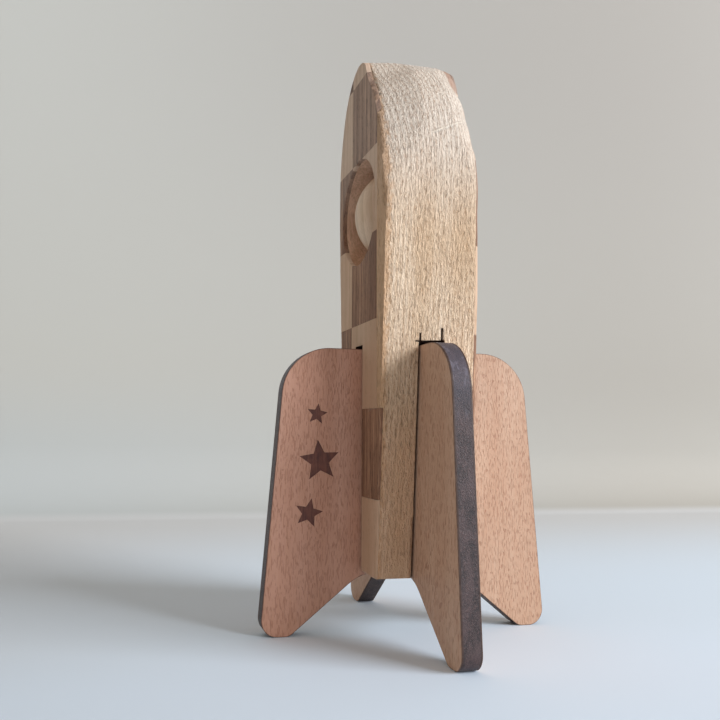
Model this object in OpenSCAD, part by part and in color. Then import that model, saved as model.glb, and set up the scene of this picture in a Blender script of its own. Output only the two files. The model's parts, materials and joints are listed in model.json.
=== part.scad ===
// Wooden toy rocket: an oak body block faced front and back with oak and walnut
// tiles, a wooden ball on a dowel in the porthole, and four boards in slots as fins.
// X is the width of the body, -Y the front face, +Z up; the feet stand on z = 0.

/* [Body] */
// Height of the nose above the floor
total_h = 185; // [180:1:200]
// Height of the flat underside above the floor
base_z = 18.5; // [15:0.5:22]
// Greatest width of the body, across the shoulders
body_w = 49; // [46:0.5:54]
// Width of the body at the underside
base_w = 30; // [28:0.5:34]
// Thickness of the body, front tiles to back tiles
body_t = 31.5; // [30:0.5:36]
// Height at which the body reaches its full width
full_w_z = 135; // [125:1:140]
// Height at which the nose starts to round in
shoulder_z = 147; // [142:1:150]
// How much the sides bulge between the base and the full width
side_bulge = 0.2; // [0:0.05:0.5]
// How far the nose leans away from the middle
nose_lean = -1.5; // [-3:0.5:0]
// Radius of the vertical corners
corner_r = 1; // [0.5:0.5:5]
// How far the bevel at the back of the nose runs down the back
bevel_h = 2.4; // [1:0.1:4]
// How far the same bevel runs forward over the top
bevel_t = 7; // [3:0.5:9]

/* [Tiles] */
// Thickness of the tile layer on each face
tile_t = 1.5; // [1:0.05:4]
// Height of one row of tiles
row_h = 27.3; // [25:0.1:28]
// Height of the joint between the lowest tiles and the first whole row
first_row_z = 42; // [38:0.5:46]
// How much lower the joints between the rows lie on the back
back_row_drop = 4.5; // [0:0.5:6]
// Where the upright joint between the two columns lies
column_x = -8.3; // [-12:0.1:-6]
// Where the front's near column ends and the bare block shows, above the lowest rows
tile_edge_x = 17; // [14:0.5:18]
// How many of the front's lowest rows run right out to the side of the body
wide_rows = 2; // [0:1:2]
// Width of the glue line between neighbouring tiles
glue_gap = 0.06; // [0.02:0.01:0.1]

/* [Porthole] */
// Diameter of the hole through the body
port_d = 35; // [33.5:0.5:36]
// Sideways place of the hole
port_x = -2; // [-3:0.5:0]
// Height of the middle of the hole
port_z = 134; // [130:0.5:138]
// Diameter of the wooden ball in the hole
ball_d = 32; // [28:0.5:33]
// Diameter of the dowel that carries the ball
dowel_d = 5; // [4:0.5:6]
// Clearance of the ball on its dowel, on the diameter
dowel_play = 0.16; // [0.04:0.02:0.2]
// Solid wood left beyond the blind end of the dowel
dowel_blind = 5; // [3:0.5:6]

/* [Fins] */
// Height of a fin
fin_h = 88.4; // [84:0.1:90]
// Thickness of a fin, veneers included
fin_t = 6; // [5:0.1:7]
// Thickness of each veneer
veneer_t = 0.6; // [0.4:0.1:1]
// Reach of the side fins at the floor, from the middle of the body
side_reach = 49; // [47:0.1:52]
// Reach of the front and back fins at the floor
front_reach = 47.3; // [45:0.1:50]
// How far the outer edge leans in from the floor to the top
edge_lean = 6.9; // [5:0.1:9]
// Radius of the upper outer corner
fin_corner_r = 15.5; // [10:0.5:18]
// Radius of the outer corner of the foot
foot_r = 5; // [3:0.5:6]
// Width of the flat that a foot stands on, before its corner is rounded
foot_w = 9.1; // [8:0.1:11]
// Radius of the inner corner of the foot
inner_foot_r = 4; // [1:0.5:5]
// Radius where the inner edge of a fin turns in under the body
root_r = 16; // [10:0.5:18]
// Distance from the middle of the body to the hidden edge of a fin
fin_root = 9; // [8:0.5:11]

/* [Slots] */
// Clearance between a fin and its slot, on the thickness
slot_play = 0.8; // [0.1:0.05:1]
// Height of the gap above a fin
slot_gap = 1; // [0.5:0.1:2]

/* [Hidden] */
COLUMNS = ["near", "far"];
ROWS = ["base", "row_1", "row_2", "row_3", "row_4", "row_5", "nose"];
SIDES = ["front", "right", "back", "left"];

OAK = "#c9a983";
PALE_OAK = "#d8bd98";
WALNUT = "#7a5238";
BEECH = "#c99a78";
BALL = "#dcbf9c";
BURNT = "#3a2b28";
half_w = body_w / 2;
half_base = base_w / 2;
half_t = body_t / 2;
core_half_t = half_t - tile_t;
slot_top = fin_h + slot_gap;
slot_w = fin_t + slot_play;
// Room past a face, so that a cut goes clean through it
over = 1;
// Step from the side of the body to the slanting lower edge of a fin
root_clear = 0.3;
// Steps along one straight side, and along one side of the rounded nose
SIDE_STEPS = 10;
NOSE_STEPS = 24;
// Steps round a quarter of a corner
CORNER_STEPS = 8;

// Half width of the body at height z, up to the shoulder
function side_half(z) =
    let (t = min(1, (z - base_z) / (full_w_z - base_z)))
    half_base + (half_w - half_base) * t * (1 + side_bulge - side_bulge * t);

// Outline of the body seen from the front, anticlockwise from the lower right
function side_points(s) =
    [for (i = [0:SIDE_STEPS])
        let (z = base_z + (shoulder_z - base_z) * i / SIDE_STEPS)
        [s * side_half(z), z]];
function nose_points() =
    [for (i = [1:NOSE_STEPS * 2 - 1])
        let (a = 90 * i / NOSE_STEPS)
        [half_w * cos(a) + nose_lean * pow(sin(a), 2),
         shoulder_z + (total_h - shoulder_z) * sin(a)]];
function reversed(list) = [for (i = [len(list) - 1:-1:0]) list[i]];

module body_outline() {
    polygon(concat(side_points(1), nose_points(), reversed(side_points(-1))));
}

// Points of a quarter circle of radius r about c, from angle a0 to angle a1
function arc(c, r, a0, a1) =
    [for (i = [0:CORNER_STEPS])
        let (a = a0 + (a1 - a0) * i / CORNER_STEPS)
        [c[0] + r * cos(a), c[1] + r * sin(a)]];

// Cross-section of the body from above, with rounded corners
module plan_outline() {
    cx = half_w - corner_r;
    cy = half_t - corner_r;
    polygon(concat(
        arc([cx, cy], corner_r, 0, 90),
        arc([-cx, cy], corner_r, 90, 180),
        arc([-cx, -cy], corner_r, 180, 270),
        arc([cx, -cy], corner_r, 270, 360)));
}

// The body's outline as a plate lying between two depths
module plate(y0, y1) {
    translate([0, y1, 0])
        rotate([90, 0, 0])
            linear_extrude(y1 - y0)
                body_outline();
}

// A slot for the fin on side k, cut in from outside and open at the bottom
module slot(k) {
    rotate([0, 0, 90 * k])
        translate([-slot_w / 2, -body_w, base_z - over])
            cube([slot_w, body_w - fin_root + slot_play, slot_top - base_z + over]);
}

module slots() {
    for (k = [0:3])
        slot(k);
}

module port_hole() {
    translate([port_x, 0, port_z])
        rotate([90, 0, 0])
            cylinder(h = body_t + 2 * over, d = port_d, center = true, $fn = 128);
}

// The dowel runs in flush from the left side and stops short of the right side
module dowel_shape(d, extra) {
    x0 = -side_half(port_z) + 0.1 - extra;
    x1 = half_w - dowel_blind;
    translate([x0, 0, port_z])
        rotate([0, 90, 0])
            cylinder(h = x1 - x0, d = d, $fn = 64);
}

// The column through which the whole body passes, with its corners rounded
module rounded_column() {
    translate([0, 0, base_z - over])
        linear_extrude(total_h)
            plan_outline();
}

// Wedge planed off along the back of the nose's top
module back_bevel() {
    rise = bevel_h / bevel_t;
    translate([-body_w, half_t, total_h])
        rotate([90, 0, 90])
            linear_extrude(2 * body_w)
                polygon([
                    [over, -bevel_h - over * rise],
                    [over, over],
                    [-bevel_t - over / rise, over]]);
}

// Oak block in one piece. It comes through to the front beyond the tiles, at the right corner
module body_block() {
    bare_z = row_z("front", wide_rows) + glue_gap / 2;
    color(OAK)
        difference() {
            intersection() {
                union() {
                    plate(-core_half_t, core_half_t);
                    intersection() {
                        plate(-half_t, core_half_t);
                        translate([tile_edge_x, -body_t, bare_z])
                            cube([body_w, 2 * body_t, total_h]);
                    }
                }
                rounded_column();
            }
            slots();
            port_hole();
            back_bevel();
            dowel_shape(dowel_d, over);
        }
}

// Wooden ball, bored for its dowel
module porthole_ball() {
    color(BALL)
        difference() {
            translate([port_x, 0, port_z])
                sphere(d = ball_d, $fn = 96);
            dowel_shape(dowel_d + dowel_play, 0);
        }
}

module ball_dowel() {
    color(BEECH)
        dowel_shape(dowel_d, 0);
}

// Height of the joint below row r on a face
function row_z(face, r) =
    r == 0 ? base_z - over : first_row_z + row_h * (r - 1) - (face == "back" ? back_row_drop : 0);

// Whether the tile is walnut: colours change from row to row, column to column and face to face
function is_walnut(face, column, r) =
    (r + (column == "near" ? 1 : 0) + (face == "front" ? 0 : 1)) % 2 == 0;

// One tile: its face is "front" or "back", its row counts up from the base
module tile(face, column, r) {
    y0 = face == "front" ? -half_t : core_half_t;
    x0 = column == "near" ? column_x + glue_gap / 2 : -half_w - over;
    runs_to_side = face == "back" || r < wide_rows;
    edge_x = runs_to_side ? half_w + over : tile_edge_x - glue_gap / 2;
    x1 = column == "near" ? edge_x : column_x - glue_gap / 2;
    z0 = row_z(face, r) + glue_gap / 2;
    z1 = r == len(ROWS) - 1 ? total_h + over : row_z(face, r + 1) - glue_gap / 2;
    color(is_walnut(face, column, r) ? WALNUT : PALE_OAK)
        difference() {
            intersection() {
                plate(y0, y0 + tile_t);
                translate([x0, -body_t, z0])
                    cube([x1 - x0, 2 * body_t, z1 - z0]);
                rounded_column();
            }
            slots();
            port_hole();
            back_bevel();
        }
}

// Outline of a fin: u is the distance from the middle of the body, v the height
module fin_outline(reach) {
    top_u = reach - edge_lean;
    slope = atan2(edge_lean, fin_h);
    corner_c = [top_u + (fin_corner_r * (sin(slope) - 1)) / cos(slope), fin_h - fin_corner_r];
    foot_c = [reach - foot_r * (1 + sin(slope)) / cos(slope), foot_r];
    root_u = half_base + root_clear;
    rise = atan2(base_z, reach - foot_w - root_u);
    inner_c = [reach - foot_w + inner_foot_r * tan(rise / 2), inner_foot_r];
    root_c = [root_u - root_r * tan(rise / 2), base_z - root_r];
    polygon(concat(
        [[fin_root, base_z], [fin_root, fin_h]],
        reversed(arc(corner_c, fin_corner_r, slope, 90)),
        reversed(arc(foot_c, foot_r, -90, slope)),
        reversed(arc(inner_c, inner_foot_r, -90 - rise, -90)),
        arc(root_c, root_r, 90 - rise, 90)));
}

// One layer of a fin on side k: it starts t0 from the middle of the board and is t thick
module fin_layer(k, t0, t) {
    reach = k % 2 == 0 ? front_reach : side_reach;
    rotate([0, 0, 90 * k - 90])
        translate([0, t0 + t, 0])
            rotate([90, 0, 0])
                linear_extrude(t)
                    fin_outline(reach);
}

module fin_board(k) {
    color(BURNT)
        fin_layer(k, veneer_t - fin_t / 2, fin_t - 2 * veneer_t);
}

module fin_veneer_a(k) {
    color(BEECH)
        fin_layer(k, -fin_t / 2, veneer_t);
}

module fin_veneer_b(k) {
    color(BEECH)
        fin_layer(k, fin_t / 2 - veneer_t, veneer_t);
}

body_block();
porthole_ball();
ball_dowel();
for (face = ["front", "back"], column = COLUMNS, r = [0:len(ROWS) - 1])
    tile(face, column, r);
for (k = [0:3]) {
    fin_board(k);
    fin_veneer_a(k);
    fin_veneer_b(k);
}
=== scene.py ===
import json
import math
import random

import bmesh
import bpy
from mathutils import Matrix, Vector, noise


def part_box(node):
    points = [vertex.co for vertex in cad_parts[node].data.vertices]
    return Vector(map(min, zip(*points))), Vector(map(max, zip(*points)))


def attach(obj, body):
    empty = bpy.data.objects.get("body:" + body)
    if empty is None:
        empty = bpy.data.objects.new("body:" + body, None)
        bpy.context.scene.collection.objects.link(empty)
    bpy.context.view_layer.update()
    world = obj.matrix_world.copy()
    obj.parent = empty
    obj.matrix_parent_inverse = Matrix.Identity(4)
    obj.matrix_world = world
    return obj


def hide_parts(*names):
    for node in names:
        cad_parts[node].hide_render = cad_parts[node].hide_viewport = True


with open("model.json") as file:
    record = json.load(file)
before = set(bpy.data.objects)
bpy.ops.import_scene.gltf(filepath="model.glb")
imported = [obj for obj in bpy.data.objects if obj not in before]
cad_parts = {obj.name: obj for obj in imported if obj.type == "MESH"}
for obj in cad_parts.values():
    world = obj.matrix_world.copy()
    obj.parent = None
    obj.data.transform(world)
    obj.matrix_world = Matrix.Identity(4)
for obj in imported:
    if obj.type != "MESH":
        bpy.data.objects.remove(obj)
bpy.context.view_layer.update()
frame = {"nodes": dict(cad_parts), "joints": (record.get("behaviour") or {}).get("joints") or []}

MM = 0.001
FACES = ("front", "back")
COLUMNS = ("near", "far")
ROWS = ("base", "row_1", "row_2", "row_3", "row_4", "row_5", "nose")
SIDES = ("front", "right", "back", "left")

# ---------------------------------------------------------------- sizes

# From the frame
block_lo, block_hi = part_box("body_block")
HALF_W = block_hi.x / MM
BASE_Z = block_lo.z / MM
TOP_Z = block_hi.z / MM
HALF_T = -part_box("front_near_row_2")[0].y / MM
ball_lo, ball_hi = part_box("porthole_ball")
BALL_R = (ball_hi.z - ball_lo.z) / 2 / MM
PORT_Z = (ball_hi.z + ball_lo.z) / 2 / MM
PORT_X = frame["joints"][0]["pos_m"][0] / MM
dowel_lo, dowel_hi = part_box("ball_dowel")
DOWEL_R = (dowel_hi.z - dowel_lo.z) / 2 / MM
FIN_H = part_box("fin_right_board")[1].z / MM

# The rest of the body
PORT_R = 17.5
BASE_HALF = 15.0             # half width of the base
SHOULDER_Z = 147.0           # where the sides turn into the nose
NOSE_LEAN = -1.5             # how far the nose's tip is off the middle
SHAVE = 0.06                 # how far the hand-rounded surface stays inside the solids
BASE_ROUNDING = 0.9
SLOT_TOP = FIN_H + 1.0
SLOT_HALF = 3.4              # half width of a fin's slot

# The fins
FIN_T = 6.0
VENEER_T = 0.6
FIN_ROOT = 9.0               # where the fin ends inside the body
EDGE_LEAN = 6.9              # how far the outer edge leans out, from top to foot
EDGE_SLOPE = math.atan2(EDGE_LEAN, FIN_H)
FIN_CORNER_R = 15.5          # the top's outer corner
FOOT_R = 5.0                 # the foot's outer corner
FOOT_REACH = FOOT_R * (1 + math.sin(EDGE_SLOPE)) / math.cos(EDGE_SLOPE)  # its centre to the sharp corner
FOOT_W = 9.1
INNER_FOOT_R = 4.0
ROOT_CLEAR = 0.3             # between the body's base and the fin's inner corner
ROOT_R = 16.0
# Each star is its distance from the middle of the body, its height, its radius and its turn in degrees.
STARS = ((30.2, 67.5, 3.4, 8), (29.2, 53.0, 6.6, -6), (32.6, 37.0, 4.6, 12))
ENGRAVED_DEPTH = 0.15


# ---------------------------------------------------------------- mesh helpers

def smoothstep(lo, hi, v):
    """0 below lo, 1 above hi, smooth between."""
    t = max(0.0, min(1.0, (v - lo) / (hi - lo)))
    return t * t * (3 - 2 * t)


def new_object(name, data):
    """An object in the scene, made of a mesh, a light or a camera."""
    obj = bpy.data.objects.new(name, data)
    bpy.context.scene.collection.objects.link(obj)
    return obj


def mesh_from(name, points, faces):
    """A mesh from points and faces, with its normals turned outward."""
    mesh = bpy.data.meshes.new(name)
    mesh.from_pydata([Vector(p) for p in points], [], faces)
    tidy = bmesh.new()
    tidy.from_mesh(mesh)
    bmesh.ops.recalc_face_normals(tidy, faces=tidy.faces)
    tidy.to_mesh(mesh)
    tidy.free()
    return mesh


def skin(name, loops, closed=False):
    """A solid over loops of equal length, with end caps unless the last loop joins the first."""
    count, size = len(loops), len(loops[0])
    faces = []
    for i in range(count if closed else count - 1):
        j = (i + 1) % count
        for k in range(size):
            n = (k + 1) % size
            faces.append((i * size + k, i * size + n, j * size + n, j * size + k))
    if not closed:
        faces.append(tuple(range(size)))
        faces.append(tuple(range((count - 1) * size, count * size)))
    return mesh_from(name, [point for loop in loops for point in loop], faces)


def lathe(name, profile, steps, axis, centre, bored=False):
    """A solid of revolution about axis x or y. The profile is (radius, distance along the axis)."""
    loops = []
    for r, d in profile:
        turns = [2 * math.pi * k / steps for k in range(steps)]
        circle = [(r * math.cos(a), r * math.sin(a)) for a in turns]
        loops.append([Vector((d, u, v) if axis == "x" else (u, d, v)) + Vector(centre) for u, v in circle])
    return skin(name, loops, bored)


def shade(mesh):
    """Scales a finished mesh to metres and smooths it, except across its sharp edges."""
    sharp_from = 32
    mesh.transform(Matrix.Scale(MM, 4))
    mesh.polygons.foreach_set("use_smooth", [True] * len(mesh.polygons))
    mesh.set_sharp_from_angle(angle=math.radians(sharp_from))


def boolean(obj, cutter, operation):
    """Applies one boolean to obj, with the manifold solver, and leaves the result without materials."""
    modifier = obj.modifiers.new("cut", "BOOLEAN")
    modifier.operation = operation
    modifier.solver = "MANIFOLD"
    modifier.object = cutter
    graph = bpy.context.evaluated_depsgraph_get()
    made = bpy.data.meshes.new_from_object(obj.evaluated_get(graph))
    made.materials.clear()
    made.polygons.foreach_set("material_index", [0] * len(made.polygons))
    obj.modifiers.clear()
    obj.data = made


def drop(obj):
    """Removes an object that was only a tool."""
    bpy.data.objects.remove(obj)


# ---------------------------------------------------------------- shader helpers

class Tree:
    """A material's node tree, with short calls for its nodes."""

    def __init__(self, name):
        self.material = bpy.data.materials.new(name)
        self.material.use_nodes = True
        self.nodes = self.material.node_tree.nodes
        self.links = self.material.node_tree.links
        self.shader = self.nodes["Principled BSDF"]

    def put(self, socket, value):
        """Links value to the socket where it is a socket too, and sets it there where it is a constant."""
        if hasattr(value, "is_output"):
            self.links.new(value, socket)
        else:
            socket.default_value = value

    def math(self, kind, a, b=0.0):
        n = self.nodes.new("ShaderNodeMath")
        n.operation = kind
        self.put(n.inputs[0], a)
        self.put(n.inputs[1], b)
        return n.outputs[0]

    def times(self, *factors):
        """The product of the factors."""
        product = factors[0]
        for factor in factors[1:]:
            product = self.math("MULTIPLY", product, factor)
        return product

    def total(self, *parts):
        """The sum of the parts, each given as a value and its weight."""
        result = self.times(*parts[0])
        for part in parts[1:]:
            result = self.math("ADD", result, self.times(*part))
        return result

    def vector(self, kind, a, b):
        n = self.nodes.new("ShaderNodeVectorMath")
        n.operation = kind
        self.put(n.inputs[0], a)
        self.put(n.inputs[1], b)
        return n.outputs["Value"] if kind == "DOT_PRODUCT" else n.outputs["Vector"]

    def place(self, offset):
        """Object coordinates in millimetres, moved by the offset."""
        coords = self.nodes.new("ShaderNodeTexCoord").outputs["Object"]
        n = self.nodes.new("ShaderNodeMapping")
        n.inputs["Scale"].default_value = (1 / MM,) * 3
        n.inputs["Location"].default_value = offset
        self.links.new(coords, n.inputs["Vector"])
        return n.outputs[0]

    def own_place(self, seed):
        """Coordinates moved at random, so that each piece has its own figure."""
        draw = random.Random(seed)
        return self.place(tuple(draw.uniform(-400, 400) for axis in "xyz"))

    def spot(self):
        """The object's x, y and z in millimetres, each by itself."""
        n = self.nodes.new("ShaderNodeSeparateXYZ")
        self.links.new(self.place((0, 0, 0)), n.inputs[0])
        return tuple(n.outputs)

    def noise(self, where, across, along, detail=2.0, rough=0.5):
        """Noise with its scale in cells per millimetre, across the grain (x and y) and along it (z)."""
        n = self.nodes.new("ShaderNodeTexNoise")
        self.links.new(self.vector("MULTIPLY", where, (across, across, along)), n.inputs["Vector"])
        n.inputs["Scale"].default_value = 1.0
        n.inputs["Detail"].default_value = detail
        n.inputs["Roughness"].default_value = rough
        return n.outputs["Fac"]

    def ramp(self, factor, zero, one):
        """0 at zero and 1 at one, smooth between and level beyond. Either may be the larger."""
        n = self.nodes.new("ShaderNodeMapRange")
        n.interpolation_type = "SMOOTHSTEP"
        self.put(n.inputs["Value"], factor)
        n.inputs["From Min"].default_value = zero
        n.inputs["From Max"].default_value = one
        return n.outputs["Result"]

    def mix(self, base, colour, *strengths):
        """The base turned into the colour by the product of the strengths."""
        n = self.nodes.new("ShaderNodeMix")
        n.data_type = "RGBA"
        self.put(n.inputs["Factor"], self.times(*strengths))
        self.put(n.inputs["A"], base)
        self.put(n.inputs["B"], colour)
        return n.outputs["Result"]

    def bump(self, height, strength, distance):
        n = self.nodes.new("ShaderNodeBump")
        n.inputs["Strength"].default_value = strength
        n.inputs["Distance"].default_value = distance * MM
        self.put(n.inputs["Height"], height)
        return n.outputs["Normal"]

    def facing_up(self):
        """How far the surface faces upward, which is where the grain is cut across and where the painted top
        light goes.
        """
        normal = self.nodes.new("ShaderNodeTexCoord").outputs["Normal"]
        return self.vector("DOT_PRODUCT", normal, (0.0, 0.0, 1.0))

    def attribute(self, name):
        n = self.nodes.new("ShaderNodeAttribute")
        n.attribute_name = name
        return n.outputs["Fac"]

    def finish(self, colour, roughness, normal=None):
        self.put(self.shader.inputs["Base Color"], colour)
        self.put(self.shader.inputs["Roughness"], roughness)
        if normal is not None:
            self.put(self.shader.inputs["Normal"], normal)
        return self.material


def rgb(r, g, b):
    """An sRGB colour given as 0 to 255, as a linear colour."""
    def linear(c):
        c /= 255
        return c / 12.92 if c <= 0.04045 else ((c + 0.055) / 1.055) ** 2.4
    return (linear(r), linear(g), linear(b), 1.0)


# ---------------------------------------------------------------- woods

# Each pair of heights or depths is where an effect is 0, then where it is 1.
# The pale colour of the top and the nose is partly real end grain and sanding, and partly painted light where
# the window light falls on them.
PALE_TOP_AND_END_GRAIN, SANDED_AND_LIT_Z = rgb(255, 249, 239), (120.0, 160.0)
TORN_BROWN, TORN_Z = rgb(188, 134, 84), (40.0, 88.0)
OPEN_PORES_Z = (20.0, 88.0)
CORNER_BROWN, CORNER_Y = rgb(214, 168, 124), (-10.2, -12.0)
# Painted warm bounce light from the fins over the shaded low sides, strongest below 50 mm and gone above 78
# mm.
BOUNCE_BROWN, BOUNCE_Z = rgb(240, 184, 140), (78.0, 50.0)
STAIN_BROWN, STAIN_Y, STAIN_Z = rgb(190, 144, 120), (10.6, 11.8), (170.0, 176.0)
SCRATCH_PALE = rgb(255, 240, 220)
SCRATCH_START = (-1.0, 153.1)
SCRATCH_LENGTH, SCRATCH_SLOPE, SCRATCH_HALF = 13.0, 0.48, 0.7


def browned(t, base, where, y, z):
    """The block's brown parts: its front corner with a ragged edge, its foot warmed by painted bounce light
    from the fins, and a stain behind the nose.
    """
    ragged = t.math("ADD", y, t.times(t.noise(where, 0.6, 0.4, 4.0, 0.7), 5.0))
    base = t.mix(base, CORNER_BROWN, t.ramp(ragged, *CORNER_Y), 0.75)
    # painted warm bounce light on the low sides
    base = t.mix(base, BOUNCE_BROWN, t.ramp(z, *BOUNCE_Z), 0.4)
    return t.mix(base, STAIN_BROWN, t.ramp(y, *STAIN_Y), t.ramp(z, *STAIN_Z), 0.75)


def scratch(t, x, y, z):
    """1 on a short scratch that rises towards the back, across the right side below the nose."""
    y0, z0 = SCRATCH_START
    y1 = y0 + SCRATCH_LENGTH
    line = t.math("ADD", t.times(y, SCRATCH_SLOPE), z0 - SCRATCH_SLOPE * y0)
    off = t.math("ABSOLUTE", t.math("SUBTRACT", z, line))
    return t.times(t.ramp(off, SCRATCH_HALF, SCRATCH_HALF * 0.3),
                   t.ramp(y, y0, y0 + 1.5), t.ramp(y, y1, y1 - 2.0), t.ramp(x, 8.0, 12.0))


def grained_wood(name, seed, look):
    """Ring-porous wood with upright grain: growth rings, streaks of fibre, open pores and torn grain, and
    painted light on its top and nose.
    """
    t = Tree(name)
    where = t.own_place(seed)
    x, y, z = t.spot()
    turn = math.radians(look["ring_turn"])
    across = t.vector("DOT_PRODUCT", where, (math.cos(turn), math.sin(turn), 0.012))
    waver = t.noise(where, 0.05, 0.006, 3.0)
    phase = t.math("FRACT", t.total((across, 1 / look["ring_mm"]), (waver, look["waver"])))
    early = t.ramp(phase, 0.8, 0.05)
    tone = t.noise(where, 0.07, 0.012)
    streak = t.noise(where, 1.1, 0.02, 4.0, 0.6)
    fibre = t.noise(where, 2.4, 0.16, 4.0, 0.65)
    tooth = t.noise(where, 1.7, 0.42, 3.0, 0.6)
    pore_field = t.noise(where, 3.2, 0.34, 2.0, 0.55)
    pore_limit = t.math("SUBTRACT", look["pore_level"], t.times(early, 0.09))
    pore = t.ramp(t.math("SUBTRACT", pore_field, pore_limit), 0.0, 0.05)
    chatter = t.noise(where, 1.45, 0.50, 3.0, 0.58)
    tear = t.ramp(chatter, 0.53, 0.66)
    # Painted light together with real end grain: paler on surfaces facing up and towards the nose.
    level = t.math("MAXIMUM", t.ramp(t.facing_up(), 0.25, 0.9), t.times(t.ramp(z, *SANDED_AND_LIT_Z), 0.7))
    base = t.mix(look["pale"], look["dark"], t.ramp(tone, 0.35, 0.65))
    base = t.mix(base, look["dark"], early, look["rings"])
    base = t.mix(base, look["dark"], t.ramp(streak, 0.35, 0.7), look["streaks"])
    base = t.mix(base, look["line"], t.ramp(fibre, 0.42, 0.72), look["fibre"])
    base = t.mix(base, look["line"], t.ramp(tooth, 0.5, 0.74), look["tooth"])
    base = t.mix(base, PALE_TOP_AND_END_GRAIN, level, look["end_grain_and_top_light"])
    base = t.mix(base, look["line"], level, early, 0.35)
    pores_shown = look["pores"]
    # The wear marks, together with the painted bounce light on the low sides.
    if look["worn"]:
        base = browned(t, base, where, y, z)
        pores_shown = t.times(pores_shown, t.ramp(z, *OPEN_PORES_Z))
    base = t.mix(base, TORN_BROWN, tear, look["tears"], t.ramp(z, *TORN_Z))
    base = t.mix(base, look["pore"], pore, pores_shown)
    relief = [(fibre, -0.5), (tooth, -0.8), (pore, -0.5), (chatter, look["chatter"]), (tear, -look["tears"])]
    if look["worn"]:
        mark = scratch(t, x, y, z)
        base = t.mix(base, SCRATCH_PALE, mark, 0.65)
        relief.append((mark, 0.3))
    rough = t.math("ADD", 0.62, t.times(fibre, 0.2))
    return t.finish(base, rough, t.bump(t.total(*relief), look["relief"], look["relief_mm"]))


OAK = dict(
    pale=rgb(252, 227, 198), dark=rgb(227, 193, 156), line=rgb(190, 148, 112), pore=rgb(126, 86, 54),
    ring_mm=1.5, ring_turn=-71, waver=2.2, rings=0.45, streaks=0.5, fibre=0.3, tooth=0.25,
    pore_level=0.66, pores=0.42, relief=1.0, relief_mm=1.2, chatter=0.9, tears=0.32, end_grain_and_top_light=0.85, worn=True)
TILE = dict(ring_mm=4.5, waver=4.0, relief_mm=0.3, chatter=0.1, tears=0.0, worn=False)
PALE_TILE = dict(
    TILE, pale=rgb(213, 180, 151), dark=rgb(193, 157, 127), line=rgb(170, 134, 104), pore=rgb(130, 98, 72),
    ring_turn=15, rings=0.35, streaks=0.6, fibre=0.35, tooth=0.2,
    pore_level=0.70, pores=0.4, relief=0.4, end_grain_and_top_light=0.3)
WALNUT_TILE = dict(
    TILE, pale=rgb(190, 147, 116), dark=rgb(129, 90, 65), line=rgb(88, 59, 42), pore=rgb(60, 40, 30),
    ring_turn=20, rings=0.7, streaks=0.95, fibre=0.75, tooth=0.35,
    pore_level=0.68, pores=0.8, relief=0.5, end_grain_and_top_light=0.2)


def beech_veneer(name, seed, look):
    """Steamed beech: pinkish, nearly even, with short upright flecks, browned at the cut edge."""
    fibre_brown, grit_brown = rgb(194, 144, 114), rgb(190, 140, 112)
    fleck_brown, char = rgb(146, 90, 62), rgb(60, 40, 34)
    t = Tree(name)
    where = t.own_place(seed)
    tone = t.noise(where, 0.10, 0.015, 3.0)
    fibre = t.noise(where, 1.8, 0.05, 3.0, 0.6)
    grit = t.noise(where, 3.0, 0.7, 2.0, 0.6)
    fleck = t.ramp(t.noise(where, 3.8, 0.55, 0.0, 0.4), 0.60, 0.68)
    scorch = t.total((t.attribute("scorch"), 1.0), (t.noise(where, 0.5, 0.5, 4.0, 0.7), 0.35))
    base = t.mix(look["pale"], look["dark"], t.ramp(tone, 0.3, 0.7))
    base = t.mix(base, fibre_brown, t.ramp(fibre, 0.4, 0.7), 0.35)
    base = t.mix(base, grit_brown, t.ramp(grit, 0.45, 0.7), 0.25)
    base = t.mix(base, fleck_brown, fleck, look["flecks"])
    base = t.mix(base, char, t.ramp(scorch, 0.30, 1.25))
    return t.finish(base, 0.55, t.bump(t.total((fibre, 0.3), (fleck, -0.5)), 0.7, 0.4))


RED_BEECH = dict(pale=rgb(203, 155, 133), dark=rgb(192, 141, 117), flecks=0.36)
PALE_BEECH = dict(pale=rgb(206, 171, 144), dark=rgb(196, 157, 129), flecks=0.48)


def turned_wood():
    """The ball: close-grained wood, turned smooth and pale, with painted shade from the porthole's near rim
    darkening its right side.
    """
    pale, dark = rgb(226, 198, 170), rgb(212, 183, 153)
    fibre_brown, rim_shade_brown = rgb(188, 152, 118), rgb(182, 149, 124)
    t = Tree("ball_wood")
    where = t.place((12.0, 40.0, 7.0))
    x = t.spot()[0]
    across = t.vector("DOT_PRODUCT", where, (0.5, 0.85, 0.02))
    phase = t.math("FRACT", t.total((across, 0.4), (t.noise(where, 0.06, 0.01), 3.0)))
    fibre = t.noise(where, 1.8, 0.05, 4.0, 0.6)
    base = t.mix(pale, dark, t.ramp(phase, 0.1, 0.9))
    base = t.mix(base, fibre_brown, t.ramp(fibre, 0.4, 0.75), 0.5)
    # painted shade: darker towards +x, where the near rim shades the ball
    base = t.mix(base, rim_shade_brown, t.ramp(x, 1.0, 11.0), 0.75)
    return t.finish(base, 0.42, t.bump(fibre, 0.25, 0.1))


# ---------------------------------------------------------------- cut and burnt surfaces

def clouded(t, cloud, one, other):
    """Patches of one colour and the other, by the cloud's noise."""
    return t.mix(one, other, t.ramp(cloud, 0.3, 0.7))


def engraved():
    """Beech burnt by the laser, with the grain still showing."""
    t = Tree("engraved")
    where = t.place((3.0, 9.0, 27.0))
    fibre_brown = rgb(140, 92, 74)
    fibre = t.noise(where, 2.2, 0.08, 3.0, 0.6)
    base = clouded(t, t.noise(where, 0.5, 0.3, 4.0, 0.65), rgb(112, 68, 56), rgb(84, 50, 44))
    base = t.mix(base, fibre_brown, t.ramp(fibre, 0.45, 0.75), 0.4)
    return t.finish(base, 0.7, t.bump(fibre, 0.5, 0.15))


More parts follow.
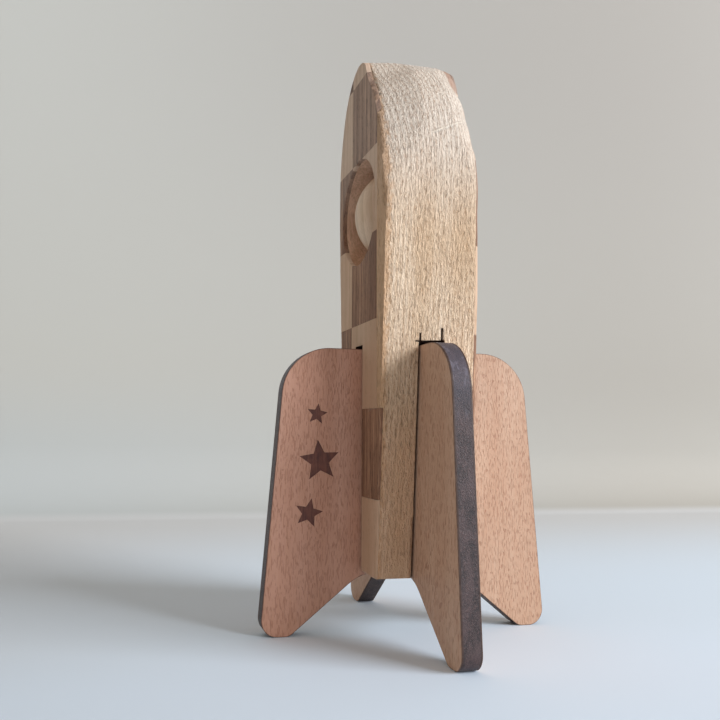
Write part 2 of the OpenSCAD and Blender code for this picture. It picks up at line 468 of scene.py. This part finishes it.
def bored_wall():
    """The wall of the porthole: painted darker and browner than the oak, as the shade deep in the bore, with
    rough and smooth patches round it.
    """
    t = Tree("bored_wall")
    where = t.place((60.0, 2.0, 11.0))
    fibre_brown = rgb(150, 114, 92)
    fibre = t.noise(where, 1.6, 0.2, 4.0, 0.65)
    # painted shade deep in the bore
    base = clouded(t, t.noise(where, 0.25, 0.12, 3.0, 0.6), rgb(230, 194, 166), rgb(203, 163, 134))
    base = t.mix(base, fibre_brown, t.ramp(fibre, 0.4, 0.7), 0.5)
    return t.finish(base, 0.75, t.bump(fibre, 0.6, 0.25))


def sawn_wall():
    """The walls of the fin slots and their saw marks, in dark brown."""
    t = Tree("sawn_wall")
    cloud = t.noise(t.place((8.0, 80.0, 4.0)), 0.6, 0.3, 3.0, 0.6)
    return t.finish(clouded(t, cloud, rgb(88, 60, 44), rgb(58, 38, 30)), 0.85, t.bump(cloud, 0.4, 0.2))


def burnt_edge():
    """A laser-cut edge: nearly black, a little shiny and specked, with a painted bluish reflection and painted
    streaks of sheen near its top.
    """
    soot, ash, speck_brown = rgb(38, 26, 27), rgb(72, 55, 55), rgb(104, 80, 76)
    sheen_blue, sheen_streak_grey = rgb(84, 82, 98), rgb(122, 116, 130)
    t = Tree("burnt_edge")
    where = t.place((31.0, 17.0, 5.0))
    z = t.spot()[2]
    cloud = t.noise(where, 0.30, 0.16, 4.0, 0.65)
    speck = t.noise(where, 2.0, 1.6, 4.0, 0.75)
    sheen_streak = t.ramp(t.noise(where, 0.55, 0.16), 0.58, 0.66)
    base = t.mix(soot, ash, t.ramp(cloud, 0.38, 0.62))
    base = t.mix(base, speck_brown, t.ramp(speck, 0.44, 0.72), 0.65)
    # painted reflection: bluer on the upper part of the edge
    base = t.mix(base, sheen_blue, t.ramp(z, 62.0, 86.0), 0.55)
    # painted streaks of sheen near the top
    base = t.mix(base, sheen_streak_grey, sheen_streak, t.ramp(z, 60.0, 78.0), 0.4)
    return t.finish(base, 0.47, t.bump(speck, 0.7, 0.35))


BURNT = burnt_edge()
BORED = bored_wall()
SAWN = sawn_wall()
ENGRAVED = engraved()


# ---------------------------------------------------------------- the body

def side_half(z):
    """Half width of the body at height z, below the nose."""
    full_z = 135.0
    bulge = 0.2
    t = min(1.0, (z - BASE_Z) / (full_z - BASE_Z))
    return BASE_HALF + (HALF_W - BASE_HALF) * t * (1 + bulge - bulge * t)


def body_outline():
    """Points round the body seen from the front, anticlockwise: (x, z, outward normal, part)."""
    side_steps, nose_steps, base_steps = 160, 60, 36
    right = [(side_half(z), z) for z in
             (BASE_Z + (SHOULDER_Z - BASE_Z) * i / side_steps for i in range(side_steps + 1))]
    nose = []
    for i in range(1, 2 * nose_steps):
        a = math.pi / 2 * i / nose_steps
        nose.append((HALF_W * math.cos(a) + NOSE_LEAN * math.sin(a) ** 2,
                     SHOULDER_Z + (TOP_Z - SHOULDER_Z) * math.sin(a)))
    loop = right + nose + [(-x, z) for x, z in reversed(right)]
    out = []
    for i, (x, z) in enumerate(loop):
        px, pz = loop[max(0, i - 1)]
        nx, nz = loop[min(len(loop) - 1, i + 1)]
        tangent = Vector((nx - px, nz - pz)).normalized()
        out.append((x, z, Vector((tangent.y, -tangent.x)), "side"))
    for i in range(1, base_steps):
        out.append((BASE_HALF * (2 * i / base_steps - 1), BASE_Z, Vector((0, -1)), "base"))
    return out


def between(v, stops):
    """A smooth curve through (place, value) stops, level beyond the first and the last."""
    places, values = zip(*stops)
    if v <= places[0] or v >= places[-1]:
        return values[0] if v <= places[0] else values[-1]
    i = max(k for k, place in enumerate(places) if place <= v)
    width = places[i + 1] - places[i]
    t = (v - places[i]) / width

    def slope(k):
        if k == 0 or k == len(places) - 1:
            return 0.0
        before = (values[k] - values[k - 1]) / (places[k] - places[k - 1])
        after = (values[k + 1] - values[k]) / (places[k + 1] - places[k])
        return 0.0 if before * after <= 0 else 2 * before * after / (before + after)

    return (values[i] * (1 + 2 * t) * (1 - t) ** 2 + slope(i) * width * t * (1 - t) ** 2
            + values[i + 1] * t * t * (3 - 2 * t) - slope(i + 1) * width * t * t * (1 - t))


# Rounding of each long edge, as (place round the outline, reach over the face, depth down the side).
# The place is the height up to the shoulder, then the shoulder's height plus the angle round the nose.
NEAR_FRONT = ((18, 8.0, 1.2), (45, 6.2, 0.8), (90, 6.0, 0.6), (120, 5.0, 0.6), (130, 2.5, 0.8),
              (136, 1.0, 2.0), (141, 1.4, 6.0), (147, 2.8, 10.0), (160, 4.6, 13.0), (180, 5.6, 14.0),
              (195, 5.9, 14.0), (207, 5.1, 14.0), (217, 3.4, 12.0), (227, 1.1, 8.0), (237, 0.5, 4.0),
              (262, 0.8, 2.0), (297, 1.2, 2.0), (327, 0.9, 1.0))
NEAR_BACK = ((18, 1.0, 1.6), (90, 1.4, 1.8), (110, 2.0, 2.4), (130, 3.4, 4.0), (147, 4.0, 5.0),
             (157, 6.0, 7.0), (167, 7.4, 8.5), (178, 8.4, 9.5), (190, 8.4, 10.0), (200, 7.6, 10.0),
             (210, 6.2, 10.0), (220, 4.2, 9.0), (229, 1.6, 6.0), (237, 0.6, 3.0), (287, 1.0, 2.0),
             (327, 0.9, 1.0))
FAR_SIDE = ((18, 1.4, 1.4), (80, 1.0, 1.0), (147, 0.9, 1.0))


def edge_rounding(x, z, front):
    """How far the rounding of an edge reaches over the face, and how deep down the side."""
    if z > SHOULDER_Z:
        angle = math.degrees(math.atan2((z - SHOULDER_Z) / (TOP_Z - SHOULDER_Z), x / HALF_W))
        place, table = SHOULDER_Z + angle, NEAR_FRONT if front else NEAR_BACK
    else:
        place = z
        table = (NEAR_FRONT if front else NEAR_BACK) if x > 0 else FAR_SIDE
    uneven, cells_per_mm = 0.18, 0.09
    spot = Vector((x * cells_per_mm, 3.0 if front else 9.0, z * cells_per_mm))
    wobble = 1 + uneven * noise.noise(spot)
    reach = between(place, [(p, r) for p, r, d in table])
    depth = between(place, [(p, d) for p, r, d in table])
    return reach * wobble, depth * wobble


def flatness(z):
    """0 where an edge is rounded, 1 where it is planed flat, as round the nose."""
    half_change = 12
    return smoothstep(SHOULDER_Z - half_change, SHOULDER_Z + half_change, z)


def cross_profile(x, z):
    """(inset, depth, how near an edge) down the body from its front face to its back."""
    round_steps, flat_steps = 10, 26
    rounded, sharper, bevelled = 1.6, 0.55, 0.6
    y_face = HALF_T - SHAVE
    front, back = edge_rounding(x, z, True), edge_rounding(x, z, False)
    flat = flatness(z)
    bend = rounded - sharper * flat
    out = []
    for k in range(round_steps + 1):
        s = k / round_steps
        out.append((front[0] * (1 - s) ** bend, -y_face + front[1] * s, 1 - s))
    y0, y1 = -y_face + front[1], y_face - back[1]
    for k in range(1, flat_steps):
        out.append((0.0, y0 + (y1 - y0) * k / flat_steps, 0.0))
    for k in range(round_steps + 1):
        a, s = math.pi / 2 * k / round_steps, k / round_steps
        drop_in = (1 - math.cos(a)) * (1 - bevelled * flat) + s * bevelled * flat
        along = math.sin(a) * (1 - bevelled * flat) + s * bevelled * flat
        out.append((back[0] * drop_in, y1 + back[1] * along, s))
    return out


# Unevenness of the hand-sanded surface: height, then cells per mm across the grain and along it
WAVES, RIPPLES, EDGE_NICKS = (0.09, 0.16, 0.10), (0.05, 0.7, 0.30), (0.07, 1.1, 0.9)
MEAN_DEPTH = 0.16


def surface_noise(x, y, z, edge):
    """Unevenness of the hand-sanded surface, rougher along the edges."""
    def uneven(height, across, along):
        return height * noise.noise(Vector((x * across, y * across, z * along)))

    nick_height, *nick_scale = EDGE_NICKS
    rough = uneven(*WAVES) + uneven(*RIPPLES) + uneven(nick_height * edge, *nick_scale)
    return rough + SHAVE + MEAN_DEPTH


def base_point(x, near, far, lift):
    """A point of the underside, on the line between the feet of the near side and the far one."""
    y = near[1] + (far[1] - near[1]) * (0.5 - x / BASE_HALF / 2)
    low = -BASE_HALF + far[0] + surface_noise(-BASE_HALF, far[1], BASE_Z, 0)
    high = BASE_HALF - near[0] - surface_noise(BASE_HALF, near[1], BASE_Z, 0)
    return (low + (high - low) * (x / BASE_HALF + 1) / 2, y, BASE_Z + lift)


def side_point(x, z, normal, profile_point, lift):
    """A point of the outline moved in by the edge's rounding, the unevenness and the rounded base."""
    inset, y, edge = profile_point
    full_nicks_z, full_height_z = BASE_Z + 3, BASE_Z + 4
    shift = inset + surface_noise(x, y, z, edge * smoothstep(BASE_Z, full_nicks_z, z))
    raised = lift * (1 - smoothstep(BASE_Z, full_height_z, z))
    return (x - normal.x * shift, y, z - normal.y * shift + raised)


def hand_rounded_body():
    """The whole body as one closed solid, edges rounded by hand, just inside the CAD solids."""
    near_foot, far_foot = cross_profile(BASE_HALF, BASE_Z), cross_profile(-BASE_HALF, BASE_Z)
    lifts = [BASE_ROUNDING * edge ** 2 + SHAVE for inset, y, edge in near_foot]
    across = []
    for x, z, normal, part in body_outline():
        if part == "base":
            across.append([base_point(x, *feet) for feet in zip(near_foot, far_foot, lifts)])
        else:
            levels = zip(cross_profile(x, z), lifts)
            across.append([side_point(x, z, normal, profile_point, lift) for profile_point, lift in levels])
    return new_object("envelope", skin("envelope", list(zip(*across))))


def porthole_cutter():
    """A plug that eases the porthole's rims."""
    ease, steps, inside = 0.45, 6, 0.02
    outer = [(PORT_R + ease, HALF_T + 1)]
    for k in range(steps + 1):
        a = math.pi / 2 * k / steps
        outer.append((PORT_R + ease * (1 - math.sin(a)) - inside, HALF_T - ease * (1 - math.cos(a))))
    profile = [(r, -d) for r, d in outer] + list(reversed(outer))
    return new_object("rim", lathe("rim", profile, 160, "y", (PORT_X, 0, PORT_Z)))


def box_cutter(centre, size, turn):
    """A turned box."""
    half = Vector(size) / 2
    loops = [[turn @ Vector((x * half.x, y * half.y, z * half.z)) + centre
              for y, z in ((-1, -1), (-1, 1), (1, 1), (1, -1))] for x in (-1, 1)]
    return new_object("saw", skin("saw", loops))


def facing(k, size):
    """The turn that brings something made on the +X side round to side k."""
    return Matrix.Rotation(math.radians(90 * k - 90), size, "Z")


def slot_edge(k, side, wide):
    """A strip worn out of the surface along one side of slot k, widest at the base."""
    steps, depth, proud, overlap = 40, 1.7, 2.0, 0.1
    ragged_by, cells_per_mm, narrower = 0.5, 0.25, 0.3
    around = facing(k, 4)
    loops = []
    for i in range(steps + 1):
        z = BASE_Z - 1 + (SLOT_TOP + 1 - BASE_Z) * i / steps
        face = HALF_T if k % 2 == 0 else side_half(max(z, BASE_Z))
        ragged = 1 + ragged_by * noise.noise(Vector((z * cells_per_mm, 4.0 * k, side)))
        y0 = side * (SLOT_HALF - overlap)
        y1 = side * (SLOT_HALF + wide * ragged * (1 - narrower * i / steps))
        low, high = face - depth, face + proud
        loops.append([around @ Vector(c) for c in ((low, y0, z), (high, y0, z), (high, y1, z), (low, y1, z))])
    return new_object("saw", skin("saw", loops))


def saw_marks(k, reach):
    """Cutters for where the slot on side k was sawn too far, and for its worn sides.

    The oak sides have two crossing level cuts and two upright ones, the tiled sides one short level cut.
    """
    draw = random.Random(20 + k)
    level, proud = SLOT_TOP + 0.1, 2.0
    kerf, below_level = 0.62, 0.4
    # Each cut is (sideways, height of its middle), width, height, depth, tilt.
    cuts = [((0.0, level), 7.0, 0.4, 2.4, 0.0)]
    if k % 2:
        cuts = [((-0.1, level), 9.3, 0.4, 3.9, 0.0), ((0.5, level + 0.1), 8.3, 0.5, 4.1, draw.uniform(3, 5))]
        uprights = ((-3.2, draw.uniform(2.6, 3.0), 3.6), (3.75, draw.uniform(4.2, 4.8), 4.3))
        for y, tall, depth in uprights:
            middle = level + tall / 2 - below_level
            cuts.append(((y, middle), kerf, tall, depth, draw.uniform(0.6, 1.4)))
    around = facing(k, 4)
    saws = [slot_edge(k, -1, 0.35), slot_edge(k, 1, 0.25)]
    for (y, z), wide, tall, depth, tilt in cuts:
        turn = around @ Matrix.Rotation(math.radians(tilt), 4, "X")
        centre = around @ Vector((reach - depth / 2 + proud, y, z))
        saws.append(box_cutter(centre, (depth + 2 * proud, wide, tall), turn.to_3x3()))
    return saws


body = hand_rounded_body()
cutters = [porthole_cutter()]
for k, reach in enumerate((HALF_T, side_half(SLOT_TOP)) * 2):
    cutters += saw_marks(k, reach)
for cutter in cutters:
    boolean(body, cutter, "DIFFERENCE")
    drop(cutter)


def surface_kind(spot, normal):
    """0 for an outer surface, 1 for the porthole's wall, 2 for a slot or a saw mark."""
    from_port = Vector((spot.x - PORT_X, spot.z - PORT_Z)).length
    off_wall, eased_rim, wall_tilt = 0.1, 1.2, 0.3
    in_port = abs(from_port - PORT_R) < off_wall and abs(spot.y) < HALF_T - eased_rim
    if in_port and abs(normal.y) < wall_tilt:
        return 1
    half_marks, marks_rise = 4.9, 5.2
    if min(abs(spot.x), abs(spot.y)) >= half_marks or spot.z >= SLOT_TOP + marks_rise:
        return 0
    side_skin, face_skin, past_rounding, outer_tilt = 0.45, 0.35, 1.0, 0.5
    on_side = abs(spot.x) > abs(spot.y)
    outward = abs(normal.x) if on_side else abs(normal.y)
    skin_at = side_half(spot.z) - side_skin if on_side else HALF_T - face_skin
    depth = skin_at - max(abs(spot.x), abs(spot.y))
    return 2 if depth > (0.0 if outward < outer_tilt else past_rounding) else 0


def rounded_node(node, name, material):
    """The CAD node with the hand-rounded body's surface in place of its own flat outside."""
    same_place = 0.001
    mesh = frame["nodes"][node].data.copy()
    tidy = bmesh.new()
    tidy.from_mesh(mesh)
    bmesh.ops.scale(tidy, vec=(1 / MM,) * 3, verts=tidy.verts)
    bmesh.ops.remove_doubles(tidy, verts=tidy.verts, dist=same_place)
    tidy.to_mesh(mesh)
    tidy.free()
    obj = new_object(name, mesh)
    boolean(obj, body, "INTERSECT")
    obj.data.materials.clear()
    for each in (material, BORED, SAWN):
        obj.data.materials.append(each)
    for polygon in obj.data.polygons:
        polygon.material_index = surface_kind(polygon.center, polygon.normal)
    shade(obj.data)
    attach(obj, "rocket")
    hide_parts(node)


def is_walnut(face, column, r):
    """The colours alternate like a chessboard's, and the back's are exchanged."""
    return (r + (column == "near") + (face == "back")) % 2 == 0


rounded_node("body_block", "oak_block", grained_wood("oak_block", 3, OAK))
for face in FACES:
    for column in COLUMNS:
        for r, row in enumerate(ROWS):
            node = f"{face}_{column}_{row}"
            seed = 100 + 50 * FACES.index(face) + 20 * COLUMNS.index(column) + r
            wood, look = ("walnut", WALNUT_TILE) if is_walnut(face, column, r) else ("oak", PALE_TILE)
            rounded_node(node, "tile_" + node, grained_wood(f"{wood}_{node}", seed, look))
drop(body)


# ---------------------------------------------------------------- the ball and its dowel

def turned_ball():
    """The ball as it comes off the lathe, bored for the dowel, with eased bore edges."""
    play, ease, steps = 0.08, 0.4, 72
    ease_depth = 1.2 * ease
    bore = DOWEL_R + play
    mouth = math.asin((bore + ease) / BALL_R)
    outside = []
    for i in range(steps + 1):
        a = mouth + (math.pi - 2 * mouth) * i / steps
        outside.append((BALL_R * math.sin(a), -BALL_R * math.cos(a)))
    end = outside[0][1]
    profile = [(bore, end + ease_depth)] + outside + [(bore, -end - ease_depth)]
    return lathe("ball", profile, 144, "x", (PORT_X, 0, PORT_Z), bored=True)


ball = new_object("wooden_ball", turned_ball())
ball.data.materials.append(turned_wood())
shade(ball.data)
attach(ball, "ball")
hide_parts("porthole_ball")


def dowel_mesh():
    """The dowel with eased ends. Its outer end is just inside the body's surface."""
    ease, sunk = 0.4, 0.1
    x0, x1 = dowel_lo.x / MM + sunk, dowel_hi.x / MM
    halfway = (DOWEL_R - 0.1, x0 + 0.12)
    profile = [(DOWEL_R - ease, x0), halfway, (DOWEL_R, x0 + ease), (DOWEL_R, x1 - ease), (DOWEL_R - ease, x1)]
    return lathe("dowel", profile, 64, "x", (0, 0, PORT_Z))


dowel = new_object("beech_dowel", dowel_mesh())
dowel.data.materials.append(beech_veneer("dowel_wood", 71, PALE_BEECH))
shade(dowel.data)
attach(dowel, "rocket")
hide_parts("ball_dowel")


# ---------------------------------------------------------------- the fins

def arc(cx, cz, r, a0, a1, steps):
    """Points of an arc about (cx, cz), from angle a0 to a1."""
    angles = [a0 + (a1 - a0) * i / steps for i in range(steps + 1)]
    return [(cx + r * math.cos(a), cz + r * math.sin(a)) for a in angles]


def blend_corner(before, corner, after, r, steps):
    """Points of an arc of radius r that eases the corner between two straight edges."""
    p, a, b = Vector(corner), Vector(before), Vector(after)
    to_a, to_b = (a - p).normalized(), (b - p).normalized()
    half = to_a.angle(to_b) / 2
    reach = r / math.tan(half)
    start, end = p + to_a * reach, p + to_b * reach
    centre = p + (to_a + to_b).normalized() * (r / math.sin(half))
    a0 = math.atan2(start.y - centre.y, start.x - centre.x)
    a1 = math.atan2(end.y - centre.y, end.x - centre.x)
    turn = (a1 - a0 + math.pi) % (2 * math.pi) - math.pi
    return arc(centre.x, centre.y, r, a0, a0 + turn, steps)


def fin_outline(reach):
    """Outline of a fin: distance from the middle of the body, and height. Clockwise from the root."""
    top_u = reach - EDGE_LEAN
    corner_u = top_u + FIN_CORNER_R * (math.sin(EDGE_SLOPE) - 1) / math.cos(EDGE_SLOPE)
    foot_u = reach - FOOT_REACH
    root, foot = (BASE_HALF + ROOT_CLEAR, BASE_Z), (reach - FOOT_W, 0.0)
    points = [(FIN_ROOT, BASE_Z), (FIN_ROOT, FIN_H)]
    points += reversed(arc(corner_u, FIN_H - FIN_CORNER_R, FIN_CORNER_R, EDGE_SLOPE, math.pi / 2, 24))
    points += reversed(arc(foot_u, FOOT_R, FOOT_R, -math.pi / 2, EDGE_SLOPE, 14))
    points += blend_corner((foot_u, 0.0), foot, root, INNER_FOOT_R, 10)
    points += blend_corner(foot, root, (FIN_ROOT, BASE_Z), ROOT_R, 12)
    return points


def inset_loop(points, amount):
    """The outline moved inward; clockwise, so inward is to the right of travel."""
    sharpest, doubled_back = 0.3, 0.1
    out = []
    count = len(points)
    for i, p in enumerate(points):
        a, b = Vector(points[i - 1]), Vector(points[(i + 1) % count])
        p = Vector(p)
        d0, d1 = (p - a).normalized(), (b - p).normalized()
        n0, n1 = Vector((d0.y, -d0.x)), Vector((d1.y, -d1.x))
        n = n0 + n1
        n = n * (1 / max(sharpest, n.dot(n) / 2)) if n.length > doubled_back else n0
        out.append((p.x + n.x * amount, p.y + n.y * amount))
    return out


def fin_levels(t0, t1, eased):
    """(inset, depth, scorch) of each loop of a fin's layer, with the arris rounded on the side `eased`."""
    if not eased:
        return [(0.0, t0, 1.0), (0.0, t1, 1.0)]
    ease, steps, scorch_fade = 0.22, 4, 0.12
    browned_rim = ((0.38, 0.16), (0.8, 0.05), (1.6, 0.0))
    face, back = (t1, t0) if eased > 0 else (t0, t1)
    levels = [(0.0, back, 1.0)]
    for i in range(steps + 1):
        a = math.pi / 2 * i / steps
        inset, sunk = ease * (1 - math.cos(a)), ease * (1 - math.sin(a))
        levels.append((inset, face - eased * sunk, 1.0 - scorch_fade * i))
    return levels + [(inset, face, scorch) for inset, scorch in browned_rim]


def fin_layer(name, k, reach, t0, t1, eased):
    """One layer of a fin between depths t0 and t1. eased is the side whose arris is rounded, or 0."""
    outline = fin_outline(reach)
    around = facing(k, 3)
    loops, marks = [], []
    for inset, t, scorch in fin_levels(t0, t1, eased):
        loops.append([around @ Vector((u, t, v)) for u, v in inset_loop(outline, inset)])
        marks += [scorch] * len(outline)
    mesh = skin(name, loops)
    layer = mesh.attributes.new("scorch", "FLOAT", "POINT")
    layer.data.foreach_set("value", marks)
    return new_object(name, mesh)


def star_cutter(u, v, radius, turn):
    """A five-pointed prism that cuts a shallow star into the front fin's near face."""
    corners, waist, proud = 10, 0.45, 1
    outline = []
    for i in range(corners):
        r = radius if i % 2 == 0 else radius * waist
        a = math.radians(turn + 360 / corners * i + 90)
        outline.append((u + r * math.cos(a), v + r * math.sin(a)))
    depths = (FIN_T / 2 - ENGRAVED_DEPTH, FIN_T / 2 + proud)
    return new_object("star", skin("star", [[(x, -pu, pv) for pu, pv in outline] for x in depths]))


def engrave_stars(veneer):
    """Cuts the stars, and gives their floors and walls the second material."""
    for star in STARS:
        cutter = star_cutter(*star)
        boolean(veneer, cutter, "DIFFERENCE")
        drop(cutter)
    margin, lowest, highest = 0.1, FIN_T / 2 - ENGRAVED_DEPTH - 0.02, FIN_T / 2 - 0.01
    for polygon in veneer.data.polygons:
        spot = polygon.center
        near = any(math.hypot(-spot.y - u, spot.z - v) < r + margin for u, v, r, turn in STARS)
        if near and lowest < spot.x < highest:
            polygon.material_index = 1


for k, side in enumerate(SIDES):
    reach = max(abs(c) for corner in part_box(f"fin_{side}_board") for c in (corner.x, corner.y)) / MM
    reach += FOOT_REACH - FOOT_R
    half, inner = FIN_T / 2, FIN_T / 2 - VENEER_T
    board = fin_layer(f"fin_{side}_core", k, reach, -inner, inner, 0)
    board.data.materials.append(BURNT)
    shade(board.data)
    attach(board, "rocket")
    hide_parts(f"fin_{side}_board")
    look = RED_BEECH if side == "front" else PALE_BEECH
    for letter, t0, t1, eased in (("a", -half, -inner, -1), ("b", inner, half, 1)):
        veneer = fin_layer(f"fin_{side}_face_{letter}", k, reach, t0, t1, eased)
        if (side, letter) == ("front", "b"):
            engrave_stars(veneer)
        seed = 200 + 10 * k + (eased > 0)
        veneer.data.materials.append(beech_veneer(f"beech_{side}_{letter}", seed, look))
        veneer.data.materials.append(ENGRAVED)
        shade(veneer.data)
        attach(veneer, "rocket")
        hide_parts(f"fin_{side}_veneer_{letter}")


# ---------------------------------------------------------------- stage, light and camera

def stage_material():
    """Pale cool table running up into a warm grey wall, with painted light and shade across both: the wall
    darker to the right and higher up, the floor greyer to the left and far back and bluer towards the middle
    and the camera.
    """
    t = Tree("stage")
    x, y, z = t.spot()
    to_right, to_middle = t.ramp(y, -300.0, 400.0), t.ramp(y, -220.0, 20.0)
    # painted shade: the wall darker to the right, and higher up on the right
    wall = t.mix(rgb(202, 202, 195), rgb(168, 163, 154), to_right)
    wall = t.mix(wall, rgb(148, 140, 134), t.ramp(y, -250.0, 150.0), t.ramp(z, 100.0, 400.0), 0.3)
    low_wall = t.mix(rgb(195, 202, 203), rgb(182, 179, 171), to_right)
    wall = t.mix(low_wall, wall, t.ramp(z, 4.0, 120.0))
    # painted light and shade on the floor: greyer to the left and far back, bluer from the middle rightwards
    # and towards the camera
    near = t.mix(rgb(200, 207, 213), rgb(221, 235, 248), to_middle)
    nearest = t.mix(rgb(205, 217, 228), rgb(223, 238, 253), to_middle)
    near = t.mix(near, nearest, t.ramp(x, -10.0, 50.0))
    floor = t.mix(rgb(212, 214, 215), near, t.ramp(x, -300.0, -40.0))
    return t.finish(t.mix(floor, wall, t.ramp(z, 0.0, 5.0)), 0.8)


def stage():
    """Floor with a sweep up into a wall behind the rocket."""
    flat, radius, wall, half, front = 0.30, 0.05, 1.2, 6.0, 6.0
    steps = 16
    profile = [(front, 0.0), (-flat, 0.0)]
    for i in range(1, steps + 1):
        a = math.pi / 2 * i / steps
        profile.append((-flat - radius * math.sin(a), radius * (1 - math.cos(a))))
    profile.append((-flat - radius, wall))
    points = [(x, y, z) for x, z in profile for y in (-half, half)]
    faces = [(2 * i, 2 * i + 1, 2 * i + 3, 2 * i + 2) for i in range(len(profile) - 1)]
    obj = new_object("stage_floor", mesh_from("stage_floor", points, faces))
    obj.data.materials.append(stage_material())
    obj.data.polygons.foreach_set("use_smooth", [True] * len(obj.data.polygons))


def area_light(name, place, target, size, spread, power, colour):
    """A rectangular light at place, in metres, turned to the target."""
    data = bpy.data.lights.new(name, "AREA")
    data.shape = "RECTANGLE"
    data.size, data.size_y = size
    data.spread = math.radians(spread)
    data.energy = power
    data.color = colour
    obj = new_object(name, data)
    obj.location = place
    obj.rotation_euler = (Vector(target) - Vector(place)).to_track_quat("-Z", "Y").to_euler()


def camera():
    """A phone's lens about a quarter of a metre away, level with the fins, looking slightly up."""
    eye = Vector((237.8, -91.3, 62.5))
    azimuth, elevation, roll = math.radians(76.64), math.radians(-4.94), math.radians(0.74)
    back = Vector((math.sin(azimuth) * math.cos(elevation),
                   -math.cos(azimuth) * math.cos(elevation), math.sin(elevation)))
    right = (-back).cross(Vector((0, 0, 1))).normalized()
    up = right.cross(-back)
    level, lean = math.cos(roll), math.sin(roll)
    right, up = right * level + up * lean, up * level - right * lean
    data = bpy.data.cameras.new("camera")
    data.sensor_width = 36.0
    data.lens = 38.75
    data.shift_x = 0.0816
    data.shift_y = 0.004
    data.clip_start = 0.01
    obj = new_object("camera", data)
    turn = Matrix((right, up, back)).transposed().to_4x4()
    obj.matrix_world = Matrix.Translation(eye * MM) @ turn
    bpy.context.scene.camera = obj


def sky():
    world = bpy.data.worlds.new("sky")
    world.use_nodes = True
    background = world.node_tree.nodes["Background"]
    background.inputs["Color"].default_value = (0.96, 0.84, 0.74, 1)
    background.inputs["Strength"].default_value = 0.45
    bpy.context.scene.world = world


stage()
area_light("window", place=(0.97, 1.18, 0.70), target=(0, 0, 0.08), size=(1.00, 0.80),
           spread=180, power=30.0, colour=(0.95, 0.99, 1.05))
camera()
sky()
bpy.context.scene.view_settings.view_transform = "Standard"
